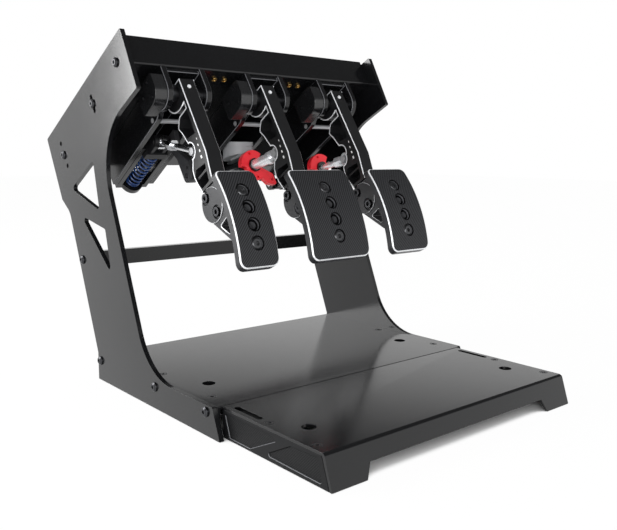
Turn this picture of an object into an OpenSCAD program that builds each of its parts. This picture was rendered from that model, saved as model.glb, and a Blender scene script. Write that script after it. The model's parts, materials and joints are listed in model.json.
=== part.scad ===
// Hanging three pedal unit for a driving simulator on a free standing floor stand.
// Lengths in millimetres, angles in degrees. Z is up, X runs to the driver's right,
// Y runs away from the driver. The origin is on the floor below the middle of the set.

/* [Stand] */
// Width across the outer faces of the two side plates
stand_w = 423; // [405:1:440]
// Thickness of each side plate
side_t = 6; // [5:0.5:8]
// Height of the floor trays
base_h = 35; // [33:1:38]
// Length of a side plate along the floor
foot_l = 296; // [292:1:302]
// Width of the leg of a side plate, along the floor
leg_w = 139; // [130:1:145]
// Angle of the leg above the floor
leg_tilt = 67.4; // [66.4:0.2:68.4]
// Radius of the two long curves in front of the leg
leg_r = 83; // [60:1:90]
// Distance of the top corner of the head in front of the back of the foot
apex_y = 89; // [84:1:94]
// Height of the top corner of the head
apex_z = 454; // [446:1:462]
// Slope of the head's top edge
head_tilt = 28.6; // [27.6:0.2:29.6]
// Length of the head's top edge
head_l = 271; // [266:1:276]
// Length of the head's front edge
head_front = 82; // [78:1:86]
// Length of the head's back edge
head_back = 97; // [92:1:102]

/* [Floor trays] */
// Sheet thickness of the base and heel trays
sheet_t = 3; // [2.5:0.25:4]
// Distance of the seam between the trays from the back of the foot
seam_y = 285; // [281:1:288]
// Inset of the heel tray's sides from the outer faces of the side plates
heel_in = 11.5; // [10:0.5:13]
// Length of the heel tray along its top
heel_l = 167; // [162:1:180]
// Run of the sloping front of the heel tray
heel_slope = 11.5; // [8:0.5:16]
// Height of the toe gap under the front of the heel tray
toe_h = 15; // [10:1:20]
// Distance of the ends of the toe gap from the heel tray's sides
toe_in = 54; // [50:1:70]
// Thickness of a side cover of the heel tray
cover_t = 3; // [2.5:0.25:3.5]
// Diameter of the four fixing holes through the trays
fix_d = 16; // [12:0.5:20]
// Distance of the fixing holes from the heel tray's sides
fix_in = 33.5; // [30:0.5:38]
// Spacing of the fixing holes along the trays
fix_y = 185; // [180:1:190]
// Thickness of the two rails under the trays
rail_t = 8; // [6:0.5:10]
// Width of a rail
rail_w = 13; // [11:0.5:14]

/* [Deck] */
// Slope of the deck that carries the pedals
deck_tilt = 33.9; // [33:0.1:34.8]
// Sheet thickness of the deck
deck_t = 4; // [3:0.25:5]
// Length of the deck
deck_l = 228; // [226:1:234]
// Height of the folded front of the deck
lip_h = 42.5; // [36:0.5:46]
// Height of the folded sides of the deck
flange_h = 20; // [18:1:24]
// Distance of the deck's end screws from its ends
deck_end = 13; // [11:0.5:15]
// Distance of the deck's middle screw from its front
deck_mid = 96; // [90:1:100]
// Height and depth of the cross bar between the legs
bar_h = 21; // [18:1:24]
// Depth of the cross bar
bar_d = 12; // [10:0.5:16]

/* [Pedal frames] */
// Distance between neighbouring pedals
pitch = 128; // [126:1:130]
// Clear width inside a pedal frame
frame_in = 48; // [48:0.5:50]
// Thickness of a frame's walls
wall_t = 8; // [6:0.5:9]
// Thickness of a frame's top plate
top_t = 5; // [4:0.5:7]
// Length of a frame
frame_l = 202; // [202:1:206]
// Height of a frame's walls
wall_h = 48.5; // [46:0.5:50]
// Distance of the pedal axle behind the deck's front
axle_s = 22; // [22:0.5:24]
// Distance of the pedal axle below the deck
axle_z = 26.5; // [26:0.5:28]
// Diameter of the pedal axle
axle_d = 14; // [12:0.5:16]
// Diameter of the spacer rings beside a pedal arm
ring_d = 25; // [22:0.5:28]
// Thickness of the sensor housing beside a frame
sensor_t = 17; // [14:0.5:20]
// Diameter of the tie bar between a frame's walls
tie_d = 6; // [5:0.5:7]

/* [Arms and pads] */
// Width of a pedal arm
arm_w = 22; // [20:0.5:24]
// Distance from the axle to the lower end of an arm
arm_l = 136; // [134:1:138]
// Thickness of an arm's web
web_t = 5; // [4:0.5:6]
// Radius of an arm's hub
hub_r = 24; // [22:0.5:25]
// Thickness of the tongue that carries a pad bracket
tongue_t = 12; // [10:0.5:13]
// Diameter of the pins in the arms
pin_d = 8; // [7:0.25:9]
// Radius of the curved face of a pad
pad_r = 194; // [190:1:200]
// Thickness of a pad
pad_t = 10; // [8:0.5:11]
// Length of a pad across its ends
pad_l = 122; // [114:1:126]
// Width of the clutch pad
clutch_w = 56; // [46:1:62]
// Width of the brake pad
brake_w = 97; // [80:1:100]
// Width of the throttle pad
throttle_w = 72; // [60:1:80]
// Angle between neighbouring holes of a pad, about the centre of its curve
hole_step = 6.6; // [6.4:0.1:6.8]
// Diameter of the holes in a pad
hole_d = 15; // [13:0.5:16]

/* [Linkages] */
// Diameter of the clutch and throttle rods
rod_d = 8; // [7:0.5:9]
// Diameter of the brake ram
ram_d = 15; // [13:0.5:15]
// Diameter of the two dampers
damper_d = 40; // [36:1:42]
// Length of the two dampers
damper_l = 73; // [66:1:76]
// Radius of the round part of an adjuster wheel
wheel_r = 22; // [20:0.5:24]
// Thickness of an adjuster wheel
wheel_t = 9; // [7:0.5:9.5]
// Diameter of the fluid reservoir
tank_d = 44; // [38:0.5:45]
// Outer diameter of the clutch spring
spring_d = 22; // [19:0.5:24]
// Wire diameter of the clutch spring
wire_d = 2.6; // [2.2:0.1:3]
// Number of curls of the clutch spring
curls = 9; // [7:0.5:10]
// Distance of the clutch slider's axis below the frame's top
slide_z = 42.5; // [42:0.25:43.5]

/* [Fits] */
// Running clearance of a pin in its bore, on the radius
run = 0.05; // [0.02:0.01:0.08]
// Clearance of a screw in its hole, on the radius
loose = 0.25; // [0.15:0.05:0.3]
// Gap between neighbouring curved or moving faces
seat = 0.3; // [0.25:0.05:0.4]
// Clearance of the pivot at which a linkage is left open, on the radius
open = 1.4; // [1.3:0.1:1.6]

/* [Hidden] */
$fn = 48;
black = [0.07, 0.07, 0.08];
dark = [0.16, 0.16, 0.18];
steel = [0.72, 0.73, 0.75];
red = [0.78, 0.1, 0.14];
blue = [0.12, 0.25, 0.6];
grey = [0.6, 0.61, 0.63];
in_x = stand_w / 2 - side_t;
heel_x = stand_w / 2 - heel_in;
frame_x = frame_in / 2 + wall_t;
arm_x = arm_w / 2;
screw_x = heel_x - 9.5;
toe_x = heel_x - toe_in;
heel_y = seam_y + heel_l;
front_y = heel_y + heel_slope;
// Directions along and across the head's top edge, in the side view
head_u = [cos(head_tilt), -sin(head_tilt)];
head_v = [-sin(head_tilt), -cos(head_tilt)];
apex = [-apex_y, apex_z];
head_rear = apex + head_l * head_u;
// Directions along the deck and up from it, in the side view
deck_u = [cos(deck_tilt), -sin(deck_tilt)];
deck_n = [sin(deck_tilt), cos(deck_tilt)];
deck_pin = apex + 29 * (head_u + head_v);
screw_z = deck_t + (flange_h - deck_t) / 3;
deck_o = deck_pin - deck_end * deck_u - screw_z * deck_n;
tip_r = 2;
mid_y = (front_y - head_rear[0] + tip_r * (cos(head_tilt) + sin(head_tilt) - 1)) / 2;
// Lever pins of the three pedals, from the axle, and the rear ends of their linkages
// Size of the arms against the length at which their outlines are given
arm_k = arm_l / 136;
clutch_pin = arm_k * [9.5, -79.5];
brake_pin = arm_k * [10, -81.5];
throttle_pin = arm_k * [14, -87.5];
slide_s = axle_s + 82;
rear_s = frame_l - 2;
rear_z = wall_h + 6.5;
pad_mid = [pad_r - 47 * arm_k, -177.6 * arm_k];
pad_turn = 7.45;
pad_back = pad_r - pad_t;
tank_o = [axle_s + 90, -wall_h - 5.5];

// Unit vector along a plane vector
function unit(v) = v / norm(v);
// Point where the line from a along u meets the line from b along v
function cross_at(a, u, b, v) =
    a + u * ((b[0] - a[0]) * v[1] - (b[1] - a[1]) * v[0]) / (u[0] * v[1] - u[1] * v[0]);
// Corner b between a and c as an arc of radius r
function arc_at(a, b, c, r, n) =
    let (p = unit(a - b), q = unit(c - b), half = acos(p * q) / 2)
    let (m = b + unit(p + q) * r / sin(half), s = b + p * r / tan(half) - m)
    let (e = b + q * r / tan(half) - m, a0 = atan2(s[1], s[0]))
    let (turn = (atan2(e[1], e[0]) - a0 + 540) % 360 - 180)
    [for (i = [0 : n]) m + r * [cos(a0 + turn * i / n), sin(a0 + turn * i / n)]];
function flat(p) = [p[0], p[1]];
// Outline through points of the form [across, up, corner radius]
function soft(pts, n = 8) =
    [for (i = [0 : len(pts) - 1])
        let (a = flat(pts[(i + len(pts) - 1) % len(pts)]), c = flat(pts[(i + 1) % len(pts)]))
        each (pts[i][2] > 0 ? arc_at(a, flat(pts[i]), c, pts[i][2], n) : [flat(pts[i])])];
function with_r(p, r) = [p[0], p[1], r];
// Place in the side view of a point of the deck, given along it and up from it
function on_deck(s, h) = deck_o + s * deck_u + h * deck_n;
// Point p turned about c
function turned(p, c, a) =
    c + [cos(a) * (p - c)[0] - sin(a) * (p - c)[1], sin(a) * (p - c)[0] + cos(a) * (p - c)[1]];

module placed() {
    translate([0, mid_y, 0]) children();
}
module on_frame(i) {
    placed() translate([(i - 1) * pitch, deck_o[0], deck_o[1]]) rotate([-deck_tilt, 0, 0]) children();
}
module on_axle(i) {
    on_frame(i) translate([0, axle_s, -axle_z]) children();
}
// Side view outline as a slab between two positions across the set
module slab(x0, x1) {
    translate([x0, 0, 0]) rotate([90, 0, 90]) linear_extrude(x1 - x0) children();
}
// Round bar across the set at a place in the side view
module bar(x0, x1, p, r) {
    translate([x0, p[0], p[1]]) rotate([0, 90, 0]) cylinder(h = x1 - x0, r = r);
}
module block(x0, x1, y0, y1, z0, z1) {
    translate([x0, y0, z0]) cube([x1 - x0, y1 - y0, z1 - z0]);
}
module both() {
    children();
    mirror([1, 0, 0]) children();
}

// Stand
base_screws = [for (y = [8, leg_w + 17, foot_l - 27]) [-y, base_h - 8]];
deck_screws = [on_deck(deck_end, screw_z), on_deck(deck_mid, screw_z), on_deck(deck_l - deck_end, screw_z)];
bar_at = [39, 160];
plate_screws = concat(base_screws, deck_screws, [bar_at]);
screw_r = 3;
leg_u = [cos(leg_tilt), sin(leg_tilt)];
head_low = apex + head_front * head_v;
head_back_low = head_rear + head_back * head_v;
leg_top = cross_at([-leg_w, base_h], leg_u, head_low, head_u);
back_top = cross_at([0, base_h + 2], leg_u, head_back_low, [cos(213), sin(213)]);
side_line = [[0, 0, 0], [-foot_l, 0, 0], [-foot_l + 14, base_h, 2], [-leg_w, base_h, leg_r],
    with_r(leg_top, leg_r), with_r(head_low, tip_r), with_r(apex, tip_r), with_r(head_rear, tip_r),
    with_r(head_back_low, tip_r), with_r(back_top, 25), [0, base_h + 2, 6]];

module side_outline() {
    difference() {
        polygon(soft(side_line, 16));
        polygon(soft([[-3, 296, 4], [68, 256, 4], [-18, 231, 4]]));
        polygon(soft([[40, 221, 4], [-33, 208, 4], [-48, 150, 4]]));
        for (p = concat(base_screws, [deck_screws[0], deck_screws[2], bar_at])) {
            translate(p) circle(r = screw_r + loose);
        }
        for (a = [-5.2, 5.2]) {
            translate(turned(deck_screws[2], deck_pin, a)) circle(r = screw_r + loose);
        }
        translate(deck_screws[1]) rotate(90 - head_tilt) {
            square([20, 2 * (screw_r + loose)], center = true);
            for (e = [-10, 10]) translate([e, 0]) circle(r = screw_r + loose);
        }
    }
}
module side_plate() {
    placed() slab(-stand_w / 2, -in_x) side_outline();
}
module left_side_plate() {
    color(black) side_plate();
}
module right_side_plate() {
    color(black) mirror([1, 0, 0]) side_plate();
}
module cross_bar() {
    color(black) placed() difference() {
        block(-in_x, in_x, bar_at[0] - bar_d / 2, bar_at[0] + bar_d / 2,
            bar_at[1] - bar_h / 2, bar_at[1] + bar_h / 2);
        both() bar(-in_x - 1, -in_x + 20, bar_at, screw_r + loose);
    }
}
// Screw with a round head, its head resting on z = 0 and its shank going down
module button_screw(length) {
    difference() {
        union() {
            cylinder(h = 1.6, r = 2 * screw_r);
            translate([0, 0, 1.6]) cylinder(h = 1.8, r1 = 2 * screw_r, r2 = 1.3 * screw_r);
            translate([0, 0, -length]) cylinder(h = length, r = screw_r);
        }
        translate([0, 0, 1.4]) cylinder(h = 3, r = 0.75 * screw_r, $fn = 6);
    }
}
module side_screws() {
    color(steel) placed() both() for (p = plate_screws) {
        translate([-stand_w / 2, p[0], p[1]]) rotate([0, -90, 0]) button_screw(side_t + 7);
    }
}

// Floor trays
flat_y = [leg_w, seam_y - 35, seam_y + 72, heel_y - 20];
fix_mid = seam_y + 13.5;
sink_r = 5;
module sunk_holes() {
    both() for (y = flat_y) translate([screw_x, -y, base_h]) {
        translate([0, 0, -sheet_t - 1]) cylinder(h = sheet_t + 2, r = sink_r / 2 + loose);
        translate([0, 0, -sink_r / 2]) {
            cylinder(h = sink_r / 2 + 0.01, r1 = sink_r / 2 + loose, r2 = sink_r + loose);
        }
    }
}
module fix_holes() {
    both() for (e = [-1, 1]) {
        translate([heel_x - fix_in, -fix_mid + e * fix_y / 2, base_h - sheet_t - 1]) {
            cylinder(h = sheet_t + 2, d = fix_d);
        }
    }
}
module base_plate() {
    color(black) placed() difference() {
        union() {
            block(-in_x, in_x, -seam_y + seat, -2, base_h - sheet_t, base_h);
            block(-in_x, in_x, -2 - sheet_t, -2, 2, base_h);
            block(-heel_x + 25, heel_x - 25, -seam_y + seat, -seam_y + seat + sheet_t, base_h - 15, base_h);
            both() block(-in_x, -in_x + sheet_t, -seam_y + seat, -2, 2, base_h);
        }
        sunk_holes();
        fix_holes();
        both() for (p = base_screws) bar(-in_x - 1, -in_x + sheet_t + 1, p, screw_r + loose);
    }
}
module heel_line() {
    polygon([[-seam_y, base_h - sheet_t], [-seam_y, base_h], [-heel_y, base_h], [-front_y, 0],
        [-front_y + sheet_t, 0], [-heel_y + sheet_t, base_h - sheet_t]]);
}
module heel_plate() {
    color(black) placed() difference() {
        union() {
            slab(-heel_x, heel_x) heel_line();
            block(-heel_x + 25, heel_x - 25, -seam_y - sheet_t, -seam_y, base_h - 15, base_h);
        }
        sunk_holes();
        fix_holes();
        translate([0, -heel_y + 10, 0]) rotate([90, 0, 0]) linear_extrude(40) {
            polygon([[-toe_x - 8, -1], [-toe_x, toe_h], [toe_x, toe_h], [toe_x + 8, -1]]);
        }
        both() translate([screw_x, -seam_y - 35, base_h - sheet_t - 1]) linear_extrude(sheet_t + 2) {
            square([7, 40], center = true);
            for (e = [-20, 20]) translate([0, e]) circle(d = 7);
        }
    }
}
module heel_cover() {
    placed() difference() {
        slab(-heel_x, -heel_x + cover_t) polygon([[-seam_y - 1, 0], [-seam_y - 1, base_h - sheet_t],
            [-heel_y + sheet_t + 1, base_h - sheet_t], [-front_y + sheet_t + 1, 0]]);
        slab(-heel_x - 1, -heel_x + 1.2) {
            translate([-seam_y, 0]) polygon(soft([[-5, base_h - 7, 2], [-90, base_h - 7, 2],
                [-94, base_h - 11, 1], [-51, 3, 2], [-14, 3, 2]], 4));
            translate([-heel_y, 0]) polygon(soft([[90, 5, 2], [50, base_h - 9, 2],
                [9, base_h - 7, 2], [3, 4, 2]], 4));
        }
    }
}
module left_heel_cover() {
    color(dark) heel_cover();
}
module right_heel_cover() {
    color(dark) mirror([1, 0, 0]) heel_cover();
}
rail_x = heel_x - cover_t - rail_w / 2;
module floor_rails() {
    color(dark) placed() both() difference() {
        block(rail_x - rail_w / 2, rail_x + rail_w / 2, -flat_y[3] - 10, -flat_y[0] + rail_w,
            base_h - sheet_t - rail_t, base_h - sheet_t);
        for (y = flat_y) translate([screw_x, -y, 0]) cylinder(h = base_h, r = sink_r / 2 + loose);
    }
}
module floor_screws() {
    color(steel) placed() both() for (y = flat_y) translate([screw_x, -y, base_h]) difference() {
        union() {
            translate([0, 0, -sink_r / 2]) cylinder(h = sink_r / 2, r1 = sink_r / 2, r2 = sink_r);
            translate([0, 0, -sheet_t - rail_t]) cylinder(h = sheet_t + rail_t, r = sink_r / 2);
        }
        translate([0, 0, -1.8]) cylinder(h = 3, r = 0.4 * sink_r, $fn = 6);
    }
}

// Deck
bolt_x = 15;
bolt_s = [62, 176];
module deck_tray() {
    color(black) on_frame(1) difference() {
        union() {
            block(-in_x, in_x, 0, deck_l, 0, deck_t);
            block(-in_x, in_x, 0, deck_t, 0, lip_h);
            both() block(-in_x, -in_x + deck_t, 0, deck_l, 0, flange_h);
        }
        both() for (s = [deck_end, deck_mid, deck_l - deck_end]) {
            bar(-in_x - 1, -in_x + deck_t + 1, [s, screw_z], screw_r + loose);
        }
        for (i = [-1 : 1], s = bolt_s, e = [-1, 1]) {
            translate([i * pitch + e * bolt_x, s, -1]) cylinder(h = deck_t + 2, r = screw_r + loose);
        }
    }
}
module deck_bolts() {
    color(steel) for (i = [0 : 2], s = bolt_s, e = [-1, 1]) on_frame(i) translate([e * bolt_x, s, deck_t]) {
        button_screw(deck_t + top_t);
    }
}
module deck_inserts() {
    color(steel) on_frame(1) both() for (e = [-8, 8]) {
        translate([pitch / 2 + e, axle_s - 5, -2.5]) difference() {
            cylinder(h = 2.5, r = 3.8);
            translate([0, 0, -1]) cylinder(h = 2.6, r = 2.2);
        }
    }
}

// Parts that all three pedals share
module frame_wall() {
    difference() {
        union() {
            polygon([[axle_s - 21.5, 0], [frame_l, 0], [frame_l, -wall_h], [axle_s + 25, -wall_h],
                [axle_s + 13.5, -axle_z - 16.7], [axle_s, -axle_z], [axle_s - 21.5, -axle_z]]);
            translate([axle_s, -axle_z]) circle(r = 21.5);
        }
        translate([axle_s, -axle_z]) circle(r = axle_d / 2 + run);
        translate([tie_s, -tie_z]) circle(r = tie_d / 2 + run);
    }
}
tie_s = 57;
tie_z = wall_h - 6;
module frame(i) {
    color(black) on_frame(i) difference() {
        union() {
            slab(-frame_x, -frame_in / 2) frame_wall();
            slab(frame_in / 2, frame_x) frame_wall();
            block(-frame_in / 2, frame_in / 2, 4, frame_l, -top_t, 0);
        }
        for (s = bolt_s, e = [-1, 1]) {
            translate([e * bolt_x, s, -top_t - 1]) cylinder(h = top_t + 2, r = screw_r + loose);
        }
    }
}
module axle(i) {
    color(steel) on_axle(i) {
        bar(-frame_x - sensor_t / 2, frame_x, [0, 0], axle_d / 2);
        bar(frame_x, frame_x + 2.5, [0, 0], axle_d / 2 + 3);
    }
}
module sensor(i) {
    color(dark) on_axle(i) difference() {
        slab(-frame_x - sensor_t, -frame_x) {
            polygon(soft([[-20, 17, 5], [-20, -20, 19], [24, -20, 5], [24, 17, 5]], 12));
        }
        bar(-frame_x - sensor_t / 2 - 1, -frame_x + 1, [0, 0], axle_d / 2 + run);
    }
}
module pivot_spacers() {
    color(steel) for (i = [0 : 2]) on_axle(i) both() difference() {
        bar(arm_x + seat, frame_in / 2, [0, 0], ring_d / 2);
        bar(arm_x, frame_in / 2 + 1, [0, 0], axle_d / 2 + run);
    }
}
module tie_bars() {
    color(steel) for (i = [0 : 2]) on_frame(i) bar(-frame_x, frame_x, [tie_s, -tie_z], tie_d / 2);
}

// Pedal arm, drawn from its axle; pins lists the places of the lever pins
notch_r = pin_d / 2 + 6.5;
lug_a = arm_k * [13.5, -145];
lug_b = arm_k * [1.2, -171];
lug_r = 3;
// Counterbore of a bracket screw, and the round cheek around the two screws
bed_r = 9;
bed_t = 3;
cheek = arm_k * [5.5, -159];
cheek_r = arm_k * 22.3;
cheek_t = 1.5;
module arm_hub() {
    intersection() {
        circle(r = hub_r);
        translate([-20 * arm_k, -40]) square([60, 40 + 9.5 * arm_k]);
    }
}
module arm_band() {
    polygon(arm_k * [[-14, 9.5], [-15, 9.5], [-20, 3], [-20, -98], [-13.6, -128], [-13.2, -136], [-6, -136],
        [-10, -118]]);
}
module arm_lower() {
    polygon(arm_k * soft([[-15, -30 / arm_k, 0], [7, -30 / arm_k, 5], [17.5, -41, 4], [13, -51, 6],
        [10, -63, 6], [7, -74, 4], [12, -93, 4], [18, -101, 5], [20, -111, 6], [19, -121, 6], [15, -136, 0],
        [-9, -136, 0], [-14, -104, 0]], 4));
}
module arm_notch(pins) {
    for (p = pins) translate(p) circle(r = notch_r);
    for (p = pins) translate([p[0], p[1] - 4]) square([20, 8]);
    if (len(pins) > 1) {
        polygon([pins[0] + [-9, 3], pins[0] + [12, 0], pins[1] + [12, 0], pins[1] + [-9, 3]]);
    }
}
module arm(i, pins) {
    lever = pins[len(pins) - 1];
    color(dark) on_axle(i) difference() {
        union() {
            difference() {
                slab(-arm_x, arm_x - web_t) {
                    arm_hub();
                    arm_band();
                    arm_lower();
                }
                slab(-arm_x - 1, arm_x - web_t + 0.01) {
                    arm_notch(pins);
                    polygon(arm_k * soft([[-13, -33, 2], [5.5, -33, 3], [14.4, -41.5, 2], [10.2, -51.5, 3],
                        [6.5, -62.5, 1], [-13, -67.5, 2]], 3));
                    polygon(arm_k * soft([[-10.5, -109.3, 1], [11.5, -105.5, 1], [17, -111, 2],
                        [16.4, -121, 2], [12.5, -132, 2], [-6, -132, 2]], 3));
                }
            }
            slab(arm_x - web_t, arm_x) {
                arm_hub();
                arm_band();
                arm_lower();
                for (p = pins) translate(p) circle(r = notch_r);
            }
            slab(-arm_x + 2, arm_x - web_t) {
                polygon(arm_k * [[-14, -114], [19, -114], [19, -117], [-14, -117]]);
            }
            slab(-tongue_t / 2, tongue_t / 2) polygon(arm_k * soft([[-10.5, -130, 0], [14, -130, 0],
                [25, -143, 8], [20, -170, 8], [10, -179, 6], [-4, -179, 6], [-10.5, -166, 4]], 4));
        }
        bar(-arm_x - 1, arm_x + 1, [0, 0], axle_d / 2 + run);
        bar(arm_x - web_t - 1, arm_x + 1, lever, pin_d / 2 + run);
        for (p = [lug_a, lug_b]) bar(-arm_x, arm_x, p, lug_r + loose);
    }
}
// Frame of the pad's curve, its middle facing forward along minus Y
module on_pad(i) {
    on_axle(i) translate([0, pad_mid[0], pad_mid[1]]) rotate([pad_turn, 0, 0]) children();
}
module pad_hole(turn, r, y0, y1) {
    rotate([turn, 0, 0]) translate([0, -y1, 0]) rotate([-90, 0, 0]) cylinder(h = y1 - y0, r = r);
}
module pad_bracket(i) {
    color(dark) difference() {
        on_axle(i) difference() {
            union() {
                slab(-arm_x + cheek_t, arm_x - cheek_t) intersection() {
                    polygon(arm_k * soft([[-15, -137, 4], [14, -137, 8], [25, -150, 8], [24, -168, 8],
                        [17, -180, 6], [-27, -247.6, 2], [-44, -251, 0], [-44, -150, 0]], 5));
                    translate(pad_mid) circle(r = pad_back - seat, $fn = 160);
                }
                slab(-arm_x, arm_x) translate(cheek) circle(r = cheek_r);
            }
            slab(-tongue_t / 2 - seat / 2, tongue_t / 2 + seat / 2) {
                polygon(arm_k * [[-11, -135], [30, -135], [30, -183], [-11, -183]]);
            }
            slab(-arm_x - 1, arm_x + 1) {
                polygon(arm_k * soft([[-13, -185.5, 2], [6, -188, 2], [-8, -208, 2]], 3));
            }
            for (p = [lug_a, lug_b]) {
                bar(-arm_x - 1, arm_x + 1, p, lug_r + loose);
                bar(-arm_x - 1, -arm_x + bed_t, p, bed_r);
            }
        }
        on_pad(i) for (e = [-1.5, 1.5]) pad_hole(e * hole_step, 4 + loose, pad_back - 24, pad_back + 5);
    }
}
module bracket_screws(i) {
    color(steel) on_axle(i) for (p = [lug_a, lug_b]) difference() {
        union() {
            bar(-arm_x - 1.6, -arm_x + bed_t, p, 2 * lug_r - 0.1);
            bar(-arm_x + bed_t - 0.1, arm_x, p, lug_r);
        }
        translate([-arm_x - 2, p[0], p[1]]) rotate([0, 90, 0]) cylinder(h = 3.4, r = lug_r, $fn = 6);
    }
}
module pad(i, w) {
    color(dark) on_pad(i) difference() {
        intersection() {
            difference() {
                bar(-w / 2, w / 2, [0, 0], pad_r, $fn = 160);
                bar(-w, w, [0, 0], pad_back, $fn = 160);
            }
            translate([0, -pad_back + 30, 0]) rotate([90, 0, 0]) linear_extrude(60) {
                polygon(soft([[-w / 2, -pad_l / 2, 10], [w / 2, -pad_l / 2, 10], [w / 2, pad_l / 2, 8],
                    [-w / 2, pad_l / 2, 8]]));
            }
        }
        for (e = [-1.5, 1.5]) {
            pad_hole(e * hole_step, 4 + loose, pad_back - 5, pad_r + 5);
            pad_hole(e * hole_step, hole_d / 2, pad_r - 5, pad_r + 5);
        }
        for (e = [-0.5, 0.5]) {
            pad_hole(e * hole_step, 4.5, pad_back - 5, pad_r + 5);
            pad_hole(e * hole_step, hole_d / 2, pad_r - 4, pad_r + 5);
        }
    }
}
module pad_screws(i) {
    color(steel) on_pad(i) for (e = [-1.5, 1.5]) rotate([e * hole_step, 0, 0]) {
        translate([0, -pad_r + 5, 0]) rotate([90, 0, 0]) difference() {
            union() {
                cylinder(h = 2.4, r = hole_d / 2 - seat);
                translate([0, 0, 2.4]) cylinder(h = 1.6, r1 = hole_d / 2 - seat, r2 = hole_d / 2 - 2);
                translate([0, 0, -16]) cylinder(h = 16, r = 4);
            }
            translate([0, 0, 1.5]) cylinder(h = 3, r = 3, $fn = 6);
        }
    }
}
module pin_bolt(i, p) {
    color(steel) on_axle(i) {
        bar(-arm_x + 0.5, -arm_x + 4.5, p, 6.5);
        bar(-arm_x + 4.5, arm_x, p, pin_d / 2);
    }
}

// Frame of a linkage from the lever pin p to its rear end q, along plus Y
function link_turn(p, q) = atan2(q[1] - p[1], q[0] - p[0]);
module on_link(i, p, q) {
    on_axle(i) translate([0, p[0], p[1]]) rotate([link_turn(p, q), 0, 0]) children();
}
module along(y0, y1, r) {
    translate([0, y0, 0]) rotate([-90, 0, 0]) cylinder(h = y1 - y0, r = r);
}
module hex_along(y0, y1, r) {
    translate([0, y0, 0]) rotate([-90, 0, 0]) cylinder(h = y1 - y0, r = r, $fn = 6);
}
eye_r = pin_d / 2 + 4.3;
eye_x = 5;

// Clutch linkage
slide_pin = [slide_s - axle_s, axle_z - slide_z];
clutch_len = norm(slide_pin - clutch_pin);
cap_s = frame_l + 1;
block_s = slide_s + 15;
slide_x = 16.5;
module clutch_rod() {
    color(steel) on_link(0, clutch_pin, slide_pin) difference() {
        union() {
            bar(-eye_x, eye_x, [0, 0], eye_r);
            bar(-eye_x, eye_x, [clutch_len, 0], eye_r + open);
            along(5, clutch_len - 6, rod_d / 2);
            hex_along(58, 68, rod_d);
        }
        bar(-eye_x - 1, eye_x + 1, [0, 0], pin_d / 2 + run);
        bar(-eye_x - 1, eye_x + 1, [clutch_len, 0], pin_d / 2 + open);
    }
}
module clutch_slider() {
    color(dark) on_frame(0) {
        both() difference() {
            slab(eye_x + 0.8, eye_x + 6) union() {
                translate([slide_s, -slide_z]) circle(r = 9);
                polygon([[slide_s, -slide_z - 9], [block_s + 2, -slide_z - 9], [block_s + 2, -slide_z + 9],
                    [slide_s, -slide_z + 9]]);
            }
        }
        block(-slide_x, slide_x, block_s, block_s + 11, -slide_z - 10.5, -slide_z + 10.5);
        bar(-eye_x - 6.5, eye_x + 6.5, [slide_s, -slide_z], pin_d / 2);
        translate([0, 0, -slide_z]) along(block_s + 10, cap_s + 14, rod_d / 2);
    }
}
module clutch_cradle() {
    color(black) on_frame(0) difference() {
        union() {
            both() block(slide_x + 0.5, frame_in / 2, block_s - 6, cap_s + 1, -slide_z - 6, -slide_z + 12.5);
            slab(-frame_in / 2, frame_in / 2) polygon([[cap_s, -slide_z - 6], [cap_s + 8, -slide_z - 6],
                [cap_s + 8, -slide_z + 18], [cap_s, -slide_z + 18]]);
            translate([0, 0, -slide_z]) along(cap_s, cap_s + 8, 16);
        }
        translate([0, 0, -slide_z]) along(cap_s - 1, cap_s + 9, rod_d / 2 + seat);
    }
}
module clutch_hanger() {
    color(grey) on_frame(0) difference() {
        slab(slide_x + 0.5, frame_in / 2) difference() {
            polygon(soft([for (p = [[-16, 10.5, 2], [8.5, 10.5, 2], [8.5, -9.5, 4], [0, -27.5, 6],
                [0, -68.5, 8], [-22, -68.5, 8], [-22, -43.5, 6], [-10, -23.5, 6], [-10, -9.5, 3]])
                p + [slide_s, -slide_z, 0]], 4));
            translate([slide_s - 8, -slide_z - 58.5]) circle(r = 4);
            translate([slide_s - 15, -slide_z - 50.5]) circle(r = 2.5);
        }
    }
}

// Clutch spring: a wire that leaves each seat straight and turns into the helix
spring_a = block_s + 11;
spring_len = cap_s - spring_a;
spring_r = (spring_d - wire_d) / 2;
bend_r = 1.2 * wire_d;
lift = atan2((spring_len - 2 * (wire_d + bend_r)) / curls, 360 * spring_r * PI / 180);
bend = [for (k = [0 : 3]) let (a = (90 - lift) * k / 3)
    [bend_r * (1 - cos(a)), wire_d + bend_r * sin(a), 90 - a]];
rise_a = bend[3][1];
run_a = bend[3][0];
coil = [for (k = [1 : round(8 * curls) - 1]) let (f = k / round(8 * curls))
    [run_a + f * curls * 2 * PI * spring_r, rise_a + f * (spring_len - 2 * rise_a), lift]];
end_run = 2 * run_a + curls * 2 * PI * spring_r;
// Unrolled path of the wire: distance round, distance along, slope
path = concat([[0, 0, 90]], bend, coil,
    [for (k = [3 : -1 : 0]) [end_run - bend[k][0], spring_len - bend[k][1], bend[k][2]]],
    [[end_run, spring_len, 90]]);
function wire_at(p) = let (a = p[0] / spring_r * 180 / PI) [spring_r * cos(a), p[1], spring_r * sin(a)];
function wire_ring(p) =
    let (a = p[0] / spring_r * 180 / PI, out = [cos(a), 0, sin(a)])
    let (side = [sin(a) * sin(p[2]), cos(p[2]), -cos(a) * sin(p[2])])
    [for (j = [0 : 5]) wire_at(p) + wire_d / 2 * (cos(60 * j) * out + sin(60 * j) * side)];
wire_n = len(path);
spring_gap = min([for (i = [0 : wire_n - 2], j = [i + 1 : wire_n - 1])
    if (path[j][0] - path[i][0] > 3.5 * spring_r) norm(wire_at(path[j]) - wire_at(path[i])) - wire_d]);
echo(spring_gap = spring_gap);
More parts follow.
